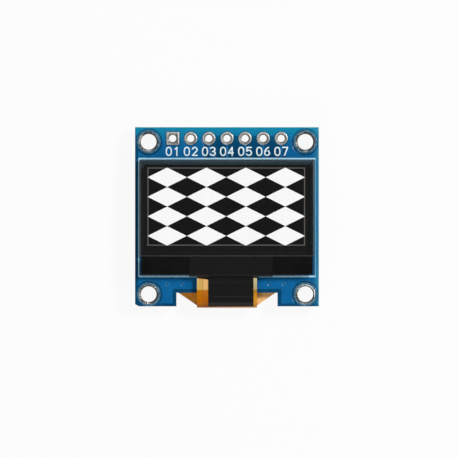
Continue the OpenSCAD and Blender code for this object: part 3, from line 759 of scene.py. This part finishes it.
def pour_outline():
    """The pour's outer outline, which follows the board's edge, its notch and the bare rings,
    and the outlines of the islands that the rings cut off in the corners."""
    left, right = board_lo.x + EDGE_GAP, board_hi.x - EDGE_GAP
    bottom, top = board_lo.y + FOOT_GAP, board_hi.y - EDGE_GAP
    nx, ny = NOTCH_HALF + NOTCH_GAP, NOTCH_TOP + NOTCH_GAP
    points = []
    islands = []
    tl, tr, bl, br = (middle(n) for n in CORNERS)
    corners = ((br, right, bottom), (tr, right, top), (tl, left, top), (bl, left, bottom))
    for c, edge_x, edge_y in corners:
        points += ring_arc(c, max(edge_x, board_lo.x + LEFT_GAP), edge_y, -1, 24)
        if c != bl:  # the board's cut corner has no room for copper
            islands.append([(edge_x, edge_y)] + ring_arc(c, edge_x, edge_y, 1, 10))
    notch = [(-nx, bottom), (-nx, ny), (nx, ny), (nx, bottom)]
    return points + notch, islands


def window_outline():
    """The bare window behind the labels of pins 3 to 7, with a round bite for each pad."""
    r = PIN_PAD_R + PIN_GAP
    x0, x1 = WINDOW_X
    low = glass_hi.y - 0.7
    centres = [middle(n).x for n in PINS[2:]]
    half = math.sqrt(r**2 - (WINDOW_TOP - PIN_Y) ** 2)
    points = [(x0, low), (x1, low)]
    for x in reversed(centres):
        first = (x + half, WINDOW_TOP)
        last = (x - half, WINDOW_TOP)
        if x == centres[-1]:
            first = (x1, PIN_Y - math.sqrt(r**2 - (x1 - x) ** 2))
        if x == centres[0]:
            last = (x0, PIN_Y - math.sqrt(r**2 - (x - x0) ** 2))
        points += arc_to(x, PIN_Y, r, first, last, clockwise=False)
    return points


def pad_gap(name):
    """The bare gap round one header pad."""
    c = middle(name)
    if name == PINS[0]:
        half = PIN_PAD_R + PIN_GAP
        return rectangle(c.x - half, c.y - half, c.x + half, c.y + half, 0.2)
    return circle(c.x, c.y, PIN_PAD_R + PIN_GAP)


# Tented vias on both faces, either side of the notch
VIAS = [(-8.4, -9.32), (-6.3, -9.32), (5.93, -9.32), (7.92, -9.32)]
VIA_R = 0.24


def header_traces():
    """Routes of the traces that leave pins 3 to 7 downwards."""
    below = glass_hi.y + 0.1
    start = PIN_Y - PIN_PAD_R + 0.1
    routes = []
    for i, name in enumerate(PINS[2:]):
        x = middle(name).x
        if i < len(TURNS):
            routes.append([(x, start), (x, TURNS[i]), (DIAGONALS[i] - below, below)])
        else:
            routes.append([(x, start), (x, below)])
    return routes


# Section of a via under the mask: radius and height over the board's face
VIA_SECTION = (
    (0.001, -0.02), (0.10, -0.012), (0.17, POUR_RISE + 0.012), (0.22, POUR_RISE + 0.02),
    (0.29, POUR_RISE + 0.004), (0.33, 0.0), (0.33, -0.03), (0.001, -0.03),
)


def via(bm, x, y, face, up):
    """A small dimple with a raised rim on the face at z = face, paler at its lower left, where a
    painted highlight gives those faces the pale mask-over-tin material.
    """
    first = len(bm.faces)
    lathe(bm, (x, y), [(r, face + up * z) for r, z in VIA_SECTION], 28)
    bm.faces.ensure_lookup_table()
    for f in bm.faces[first:]:
        out = f.calc_center_median() - Vector((x, y, 0))
        # Faces on the dimple's lower left take the pale material: a painted highlight.
        f.material_index = int(out.x + out.y < -0.09 and out.xy.length < 0.2)


def covered_ring(bm, name, face, up):
    """The mask over the outer part of a mounting ring."""
    c = middle(name)
    inner = hole(circle(c.x, c.y, RING_OPEN_R, 72))
    plateau(bm, circle(c.x, c.y, RING_R, 72), [inner], face, face + up * 0.035, 0.04, 1)


def ledge_gap():
    """The bare laminate under the panel's ledge, darker than the pour around it; placed where the
    ledge shades the board, it is partly painted shadow.
    """
    return rectangle(glass_lo.x + 0.04, glass_lo.y + 0.02, glass_hi.x - 0.04, ledge_top, 0.1)


def front_copper():
    outer, islands = pour_outline()
    gaps = [pad_gap(n) for n in PINS[:2]] + [window_outline(), ledge_gap()]
    gaps += [circle(x, y, VIA_R, 20) for x, y in VIAS]
    top = FRONT + POUR_RISE
    bm = bmesh.new()
    plateau(bm, outer, [hole(g) for g in gaps], FRONT, top, POUR_SLOPE)
    for island in islands:
        plateau(bm, island, [], FRONT, top, POUR_SLOPE)
    for route in header_traces():
        plateau(bm, stroke(route, TRACE_W), [], FRONT, top, 0.04)
    for name in CORNERS:
        covered_ring(bm, name, FRONT, 1)
    for x, y in VIAS:
        via(bm, x, y, FRONT, 1)
    return make("copper_front", bm, [POUR, TIN_MASK_AND_VIA_GLINT])


front_copper()

# Rear layout: the large bare window that holds the parts
REAR_WINDOW = [(-9.6, -6.05), (9.6, -6.05), (9.6, -3.5), (10.3, -2.8), (10.3, 6.2), (9.7, 6.8),
               (-9.9, 6.8), (-10.5, 6.2), (-10.5, -2.8), (-9.6, -3.7)]
# Copper fields inside that window
REAR_FIELDS = [
    [(5.3, -2.7), (9.7, -2.7), (9.7, 1.9), (6.0, 1.9), (5.3, 1.2)],
    [(5.3, 5.0), (9.7, 5.0), (9.7, 6.3), (4.4, 6.3), (4.4, 5.6)],
    [(-10.0, -2.9), (-6.2, -2.9), (-6.2, -2.3), (-10.0, -2.3)],
    [(-9.9, 5.4), (-5.6, 5.4), (-5.6, 6.3), (-9.4, 6.3), (-9.9, 5.8)],
]
# Vias on the rear alone
REAR_VIAS = [(6.3, -1.9), (8.9, -1.9), (7.6, 0.9), (9.0, 5.7), (6.0, 5.7), (-9.2, 5.9), (-6.3, 5.9),
             (-11.9, 7.9), (11.9, 7.9), (-11.9, 0.5), (11.9, 0.5), (0.0, 8.2), (-5.1, 8.2), (5.1, 8.2),
             (-12.1, -8.2), (12.1, -8.2)]
RAILS = (-5.55, 1.05, 4.4)  # tracks that run up beside the columns of chips
RAIL_ENDS = (-5.27, 0.93, 4.65)  # where each of them meets the flex pads
RAIL_FOOT = -3.9  # and how low


def rear_routes():
    """Centrelines of the tracks on the rear."""
    rows = sorted({round(middle(f"resistor_{i}").y, 3) for i in range(1, 5)})
    left, centre, right = RAILS
    routes = []
    for x, reach in ((left, -4.6), (centre, 0.2), (centre, 1.9), (right, 3.5)):
        routes += [[(x, y), (reach, y)] for y in rows]
    routes += [[(x, rows[0]), (x, rows[-1])] for x in RAILS]
    routes += [[(-3.2, y), (-2.25, y)] for y in rows] + [[(-2.25, y), (-1.3, y)] for y in rows[::2]]
    for i, above, below in ((0, -1.9, -2.2), (2, -1.6, -1.9), (1, -2.2, -2.4)):
        rail, end = RAILS[i], RAIL_ENDS[i]
        routes.append([(rail, rows[0]), (rail, above), (end, below), (end, RAIL_FOOT)])
    routes += [
        [(-7.3, 5.5), (-7.3, 4.6)],
        [(-9.1, 5.5), (-9.1, 4.6)],
        [(-8.2, 2.4), (-8.2, 1.2), (-9.7, -0.3), (-9.7, -0.9)],
        [(-6.8, -0.915), (-6.2, -0.915), (left, -0.27)],
        [(7.3, 3.46), (5.9, 3.46), (5.1, 4.335), (right, 4.335)],
        [(9.5, 3.46), (9.9, 3.86), (9.9, 5.2), (9.5, 5.6)],
    ]
    return routes


FLEX_PADS = 30
FLEX_PAD_W = 0.36
STUB_VIAS_Y = (-3.05, -2.5)  # the two rows of vias in which the middle stubs end
STUB_SHORT_Y = -3.25  # where the outer stubs end


def flex_stubs():
    """Place and end of each short track from a flex pad. The middle ones end in two rows of vias."""
    first = pads_lo.x + FLEX_PAD_W / 2
    pitch = (pads_hi.x - pads_lo.x - FLEX_PAD_W) / (FLEX_PADS - 1)
    stubs = []
    for i in range(FLEX_PADS):
        x = first + i * pitch
        if min(abs(x - end) for end in RAIL_ENDS) > 0.2:
            stubs.append((x, STUB_VIAS_Y[i % 2] if abs(x) < 5.0 else STUB_SHORT_Y))
    return stubs


def rear_copper():
    outer, islands = pour_outline()
    top = REAR - POUR_RISE
    side_windows = []
    for i in (1, 2):
        lo, hi = box(f"large_capacitor_{i}")
        side_windows.append(rectangle(lo.x - 0.2, lo.y - 0.42, hi.x + 0.2, hi.y + 0.42, 0.15))
    pour_vias = [v for v in REAR_VIAS + VIAS if abs(v[0]) > 10.6 or abs(v[1]) > 7]
    gaps = [pad_gap(n) for n in PINS] + [REAR_WINDOW] + side_windows
    gaps += [circle(x, y, VIA_R, 20) for x, y in pour_vias]
    bm = bmesh.new()
    plateau(bm, outer, [hole(g) for g in gaps], REAR, top, POUR_SLOPE)
    for island in islands:
        plateau(bm, island, [], REAR, top, POUR_SLOPE)
    for field in REAR_FIELDS:
        drills = [circle(x, y, VIA_R, 20) for x, y in REAR_VIAS
                  if field[0][0] < x < field[2][0] and field[0][1] < y < field[2][1]]
        plateau(bm, field, [hole(d) for d in drills], REAR, top, POUR_SLOPE)
    # Each track is a hair lower than the last, so that no two tops share a plane
    for i, route in enumerate(rear_routes()):
        plateau(bm, stroke(route, 0.24), [], REAR, top + 0.002 + 0.00015 * i, 0.04)
    for x, end in flex_stubs():
        plateau(bm, stroke([(x, pads_hi.y - 0.1), (x, end)], 0.2), [], REAR, top + 0.001, 0.04)
        if end in STUB_VIAS_Y:
            via(bm, x, end, REAR, -1)
    for name in CORNERS:
        covered_ring(bm, name, REAR, -1)
    for x, y in REAR_VIAS + VIAS:
        via(bm, x, y, REAR, -1)
    return make("copper_rear", bm, [POUR, TIN_MASK_AND_VIA_GLINT])


rear_copper()

RIM_TOP_W = 0.12  # width of the bare fibre along the upper edge
RIM_SIDE_W = 0.06  # the same along the right edge
RIM_END = 0.06  # how far it ends short of the corners


def board_rim():
    """Bare fibre where the mask stops short of the board's upper and right edges, pale teal as a
    painted sheen of the light from the upper right.
    """
    bm = bmesh.new()
    x, y = board_hi.x - 0.01, board_hi.y - 0.01
    left, low = board_lo.x + RIM_END, board_lo.y + RIM_END
    outline = [(left, y - RIM_TOP_W), (x - RIM_SIDE_W, y - RIM_TOP_W), (x - RIM_SIDE_W, low),
               (x, low), (x, y), (left, y)]
    plateau(bm, outline, [], FRONT - 0.002, FRONT + 0.006, 0.008)
    return make("board_rim", bm, [FIBRE_AND_SHEEN])


board_rim()


# ---------- tinned rings and pads ----------

TIN_CROWN = 0.05  # height of the tin's dome over the board
PLATING = 0.03  # thickness of the plating in a barrel
# Section of the tin on one face. Points of the dome: share of the way out, share of its height.
# Points of the lip: share of the way out, depth below the face.
TIN_LIP = ((0.0, 0.07), (0.03, 0.015))
TIN_DOME = ((0.12, 0.3), (0.27, 0.62), (0.45, 0.86), (0.65, 1.0), (0.85, 0.95), (1.0, 0.1))


def tin_profile(hole_r, outer_r):
    """Section of a plated ring on both faces with its barrel, from the hole outwards and back."""
    face = [(share, -depth) for share, depth in TIN_LIP]
    face += [(share, rise * TIN_CROWN) for share, rise in TIN_DOME]
    face = [(hole_r + share * (outer_r - hole_r), z) for share, z in face]
    front = [(r, FRONT + z) for r, z in face]
    rear = [(r, REAR - z) for r, z in reversed(face)]
    back = [(hole_r + PLATING, FRONT - 0.001), (hole_r + PLATING, REAR + 0.001)]
    return front + back + rear


def near(angle, at, width):
    """1 at the angle, falling to 0 some width away, both in degrees."""
    off = (math.degrees(angle) - at + 180) % 360 - 180
    return math.exp(-((off / width) ** 2))


def tinned_ring(name, hole_r, outer_r, steps, tone, teeth=0, square=False):
    """A domed tinned ring with an uneven surface. tone(angle, share, at) says how bright it is
    at a point, share of the way out from its hole. teeth is the number of ridges round it."""
    c = middle(name)
    tones = []

    def shape(angle, r, z):
        share = (r - hole_r) / (outer_r - hole_r)
        ridge = 0.0
        if square and share > 0.05:
            limit = outer_r / max(abs(math.cos(angle)), abs(math.sin(angle)))
            limit = min(limit, outer_r * 1.34)
            r = hole_r + (limit - hole_r) * share
        side = 1 if z > (FRONT + REAR) / 2 else -1
        at = Vector((c.x + r * math.cos(angle), c.y + r * math.sin(angle), side * 5.0))
        if z > FRONT + 0.005 or z < REAR - 0.005:
            rise = 0.3 * noise.noise(at * 2.6) + 0.2 * noise.noise(at * 7.0)
            if teeth:
                band = max(0.0, 1 - abs(share - 0.45) / 0.5)
                ridge = band * math.sin(teeth * angle + 4 * noise.noise(at * 1.3))
                rise += 0.4 * ridge
            z += side * rise * TIN_CROWN
        barrel = 0.5 + 0.25 * noise.noise(Vector((4 * angle, 3 * z, c.x)))
        # The ridges' crests are painted brighter than the rest: painted highlights on the teeth.
        tones.append(tone(angle, share, at) + 0.45 * ridge if share > 0.01 else barrel)
        return r, z

    bm = bmesh.new()
    lathe(bm, (c.x, c.y), tin_profile(hole_r, outer_r), steps, shape)
    piece = make(f"{name}_tinned", bm, [TIN_PAINTED_SHEEN], [name])
    piece.data.attributes.new("tone", "FLOAT", "POINT").data.foreach_set("value", tones)
    return piece


def summed(angle, marks):
    """The marks at an angle, added up. Each mark is (angle, width, amount), in degrees."""
    return sum(amount * near(angle, at, width) for at, width, amount in marks)


def faded(inner, outer, share, start, width):
    """inner up to start, outer from start + width on, and a blend between them."""
    return inner + (outer - inner) * min(1.0, max(0.0, (share - start) / width))


def ring_tone(darks, lights):
    """Tone of a mounting ring: uneven dull grey with bright patches at lights, which are painted
    reflections, and a dark lip that is wider at darks, which is painted shade round the hole."""

    def tone(angle, share, at):
        reach = 0.3 + 0.3 * noise.noise(at * 5.0) + summed(angle, darks)
        shine = 0.44 + 0.6 * noise.noise(at * 6.0 + Vector((3, 0, 0)))
        shine += 0.3 * noise.noise(at * 13.0) + summed(angle, lights)
        return faded(0.04, shine, share, reach, 0.2)

    return tone


def pad_tone(angle, share, at):
    """Tone of a header pad over uneven tin: a painted highlight at its upper left, painted shade
    below, and a dull lip round its hole that is painted shade.
    """
    rim = 0.7 + 0.3 * noise.noise(at * 5) + summed(angle, [(125, 75, 0.12), (-70, 60, -0.14)])
    lip = 0.34 + 0.22 * noise.noise(at * 7)
    return faded(lip, rim, share, 0.3, 0.25)


# Painted shade on the lips and painted reflections as bright patches of each mounting ring, as marks
RING_SHEEN_AND_SHADE = {
    "top_left": (
        [(95, 28, 0.7), (45, 18, 0.35), (5, 20, 0.5), (-42, 22, 0.6), (215, 22, 0.4)],
        [(175, 40, 0.35), (270, 18, 0.35), (125, 14, 0.3)],
    ),
    "top_right": (
        [(80, 30, 0.6), (20, 45, 0.7), (-50, 30, 0.5), (150, 30, 0.5), (240, 25, 0.5)],
        [(115, 16, 0.6), (197, 18, 0.6), (-85, 14, 0.6)],
    ),
    "bottom_left": (
        [(0, 45, 0.5), (-55, 25, 0.5), (85, 10, 0.4), (135, 25, 0.3), (240, 15, 0.4)],
        [(185, 25, 0.3), (-90, 14, 0.25)],
    ),
    "bottom_right": (
        [(-150, 40, 0.5), (-70, 18, 0.3), (-30, 18, 0.35)],
        [(85, 32, 0.4), (0, 30, 0.22), (-60, 14, 0.2)],
    ),
}
RING_TEETH = 34  # ridges round a mounting ring
for corner, sheen_marks in RING_SHEEN_AND_SHADE.items():
    ring, tone = f"mounting_ring_{corner}", ring_tone(*sheen_marks)
    tinned_ring(ring, CORNER_HOLE_R, RING_OPEN_R + PLATING, 240, tone, RING_TEETH)
for pin in PINS:
    tinned_ring(pin, PIN_HOLE_R, PIN_PAD_R, 96, pad_tone, square=pin == PINS[0])


# ---------- white print ----------

INK_RISE = POUR_RISE + 0.014  # top of the print over the board's face
INK_SLOPE = 0.015
# Width of the line round the panel: left, bottom, right, top
FRAME_LINE = (0.13, 0.2, 0.03, 0.2)


def printed_frame():
    """The line round the panel, on the pour, with round corners."""
    outer = (frame_lo.x, frame_lo.y, frame_hi.x, frame_hi.y)
    left, bottom, right, top = FRAME_LINE
    inner = (outer[0] + left, outer[1] + bottom, outer[2] - right, outer[3] - top)
    window = hole(rectangle(*inner, 0.06))
    bm = bmesh.new()
    plateau(bm, rectangle(*outer, 0.12), [window], FRONT - 0.002, FRONT + INK_RISE, INK_SLOPE)
    return make("printed_frame", bm, [INK_LINE], ["front_silkscreen"])


printed_frame()

# Strokes of the numerals in a cell one unit wide and one high
DIGITS = {
    "0": [bezier((0.5, 1), (0, 1), (0, 0.5)) + bezier((0, 0.5), (0, 0), (0.5, 0))[1:],
          bezier((0.5, 0), (1, 0), (1, 0.5)) + bezier((1, 0.5), (1, 1), (0.5, 1))[1:]],
    "1": [[(0.2, 0.78), (0.55, 1)], [(0.55, 1), (0.55, 0)]],
    "2": [arc(0.5, 0.7, 0.48, 165, -25, 14, 0.3) + [(0.03, 0.0)], [(0.03, 0), (1, 0)]],
    "3": [arc(0.46, 0.75, 0.46, 150, -90, 14, 0.25), arc(0.46, 0.25, 0.52, 90, -155, 14, 0.25)],
    "4": [[(0.75, 0), (0.75, 1)], [(0.75, 1), (0, 0.3)], [(0, 0.3), (1, 0.3)]],
    "5": [[(0.95, 1), (0.12, 1), (0.07, 0.56)], arc(0.46, 0.32, 0.52, 138, -150, 16, 0.32)],
    "6": [arc(0.5, 0.3, 0.48, 90, 450, 24, 0.3), bezier((0.82, 1), (0.1, 0.85), (0.02, 0.3))],
    "7": [[(0, 1), (1, 1)], [(1, 1), (0.35, 0)]],
}
LABEL_Y = (8.79, 9.91)  # centrelines of the numerals' feet and tops
LABEL_STROKE = 0.165  # width of a stroke's top
DIGIT_W, DIGIT_STEP = 0.7, 1.1


def pin_numbers():
    """A plain number under each header hole."""
    bm = bmesh.new()
    low, high = LABEL_Y
    for i, name in enumerate(PINS, 1):
        start = middle(name).x - (DIGIT_STEP + DIGIT_W) / 2
        for k, digit in enumerate(f"{i:02d}"):
            left = start + k * DIGIT_STEP
            for j, line in enumerate(DIGITS[digit]):
                outline = stroke([(left + u * DIGIT_W, low + v * (high - low)) for u, v in line],
                                 LABEL_STROKE)
                # Each stroke is a hair higher than the last, so that no two tops share a plane
                top = FRONT + INK_RISE + 0.0006 * j
                plateau(bm, outline, [], FRONT - 0.002, top, INK_SLOPE)
    return make("pin_numbers", bm, [INK_LABEL])


pin_numbers()


def rear_ink(bm, outer, holes=()):
    """A printed field on the rear face."""
    plateau(bm, outer, holes, REAR, REAR - INK_RISE, 0.012)


def outlined(bm, lo, hi, dx, dy, width):
    """A printed line on the rear face, dx and dy away from the box between two corners."""
    x0, y0, x1, y1 = lo.x - dx, lo.y - dy, hi.x + dx, hi.y + dy
    inner = rectangle(x0 + width, y0 + width, x1 - width, y1 - width, 0.06)
    rear_ink(bm, rectangle(x0, y0, x1, y1, 0.12), [hole(inner)])


def rear_print():
    """Outlines round the header and the parts, and the numbers of the outer pins."""
    bm = bmesh.new()
    outlined(bm, box(PINS[0])[0], box(PINS[-1])[1], 0.42, 0.42, 0.13)
    for name in CHIPS:
        lo, hi = box(name)
        dx, dy = (0.16, 0.42) if hi.y - lo.y > hi.x - lo.x else (0.42, 0.16)
        outlined(bm, lo, hi, dx, dy, 0.1)
    for part in ("regulator", "diode"):
        (lo, hi), (leads_lo, leads_hi) = box(f"{part}_body"), box(f"{part}_leads")
        for x in (min(lo.x, leads_lo.x) - 0.4, max(hi.x, leads_hi.x) + 0.4):
            rear_ink(bm, stroke([(x, lo.y), (x, hi.y)], 0.12))
    for digit, pin in (("1", PINS[0]), ("7", PINS[-1])):
        for line in DIGITS[digit]:
            # Mirrored, so that it reads from behind
            points = [(middle(pin).x + (0.5 - u) * 0.6, PIN_Y - 2.6 + v) for u, v in line]
            rear_ink(bm, stroke(points, 0.14))
    return make("rear_print", bm, [INK_LABEL])


rear_print()


# ---------- stage, light and camera ----------

FLOOR_GLOW = 0.93  # how much of the floor's white is its own, so that the shadow stays faint


def floor():
    """A white floor that keeps the part's shadow and is see-through from below."""
    p = Paint("floor_white", 0.9, Base_Color=(0.85, 0.85, 0.85, 1), Specular_IOR_Level=0.0)
    glow = p.node("ShaderNodeEmission", {"Color": (0.985, 0.985, 0.985, 1), "Strength": 1.0})
    white = p.blend(FLOOR_GLOW, p.bsdf, glow)
    path = p.node("ShaderNodeLightPath").outputs
    seen = path["Is Camera Ray"]
    for other in ("Is Glossy Ray", "Is Transmission Ray"):
        seen = p.math("MAXIMUM", seen, path[other])
    above = p.math("SUBTRACT", 1.0, p.node("ShaderNodeNewGeometry").outputs["Backfacing"])
    out = p.blend(p.math("MULTIPLY", seen, above), p.node("ShaderNodeBsdfTransparent"), white)
    p.feed(p.tree.nodes["Material Output"].inputs["Surface"], out.outputs[0])
    bpy.ops.mesh.primitive_plane_add(size=4, location=(0, 0, cad_box[0][2] - 0.00002))
    plane = bpy.context.object
    plane.name = "floor"
    plane.data.materials.append(p.material)


floor()

# Brightness of the sky by height, from -1 below to 1 overhead
SKY = ((-1.0, 1.5), (-0.1, 1.3), (0.0, 0.6), (0.5, 0.85), (0.82, 0.6), (0.95, 0.05))


def world():
    """Soft light from all round, dimmer straight overhead, and plain white behind."""
    made = bpy.data.worlds.new("studio")
    bpy.context.scene.world = made
    made.use_nodes = True
    made.node_tree.nodes.clear()
    n = Nodes(made.node_tree)
    direction = n.node("ShaderNodeTexCoord").outputs["Generated"]
    height = n.node("ShaderNodeSeparateXYZ", {0: direction}).outputs["Z"]
    tone = n.ramp(n.scaled(height, -1, 1), *[((at + 1) / 2, grey) for at, grey in SKY])
    sky = n.node("ShaderNodeBackground", {"Color": tone, "Strength": 0.5})
    white = n.node("ShaderNodeBackground", {"Color": (0.98, 0.98, 0.98, 1)})
    mix = n.blend(n.node("ShaderNodeLightPath").outputs["Is Camera Ray"], sky, white)
    n.node("ShaderNodeOutputWorld", {"Surface": mix.outputs[0]})


world()


def lamp(name, place, size, power):
    """A square lamp that faces the part. place is in metres."""
    data = bpy.data.lights.new(name, "AREA")
    data.size = size
    data.energy = power
    made = bpy.data.objects.new(name, data)
    bpy.context.collection.objects.link(made)
    made.location = place
    made.rotation_euler = (-Vector(place)).to_track_quat("-Z", "Y").to_euler()


lamp("key", (0.36, 0.20, 0.36), 0.14, 2.75)
lamp("fill", (-0.12, -0.42, 0.30), 0.3, 0.85)


def camera():
    """Straight above the part, far enough away to look flat."""
    # Width of the picture and the point at its middle, on the plane of the board's front
    width, centre_x, centre_y, distance = 64.3, 0.286, -1.545, 1200.0
    data = bpy.data.cameras.new("camera")
    data.sensor_width = 36
    data.lens = 36 * distance / width
    data.clip_start = 0.01
    data.clip_end = 20
    made = bpy.data.objects.new("camera", data)
    bpy.context.collection.objects.link(made)
    made.location = (centre_x * MM, centre_y * MM, (FRONT + distance) * MM)
    bpy.context.scene.camera = made


camera()
bpy.context.scene.view_settings.view_transform = "Standard"
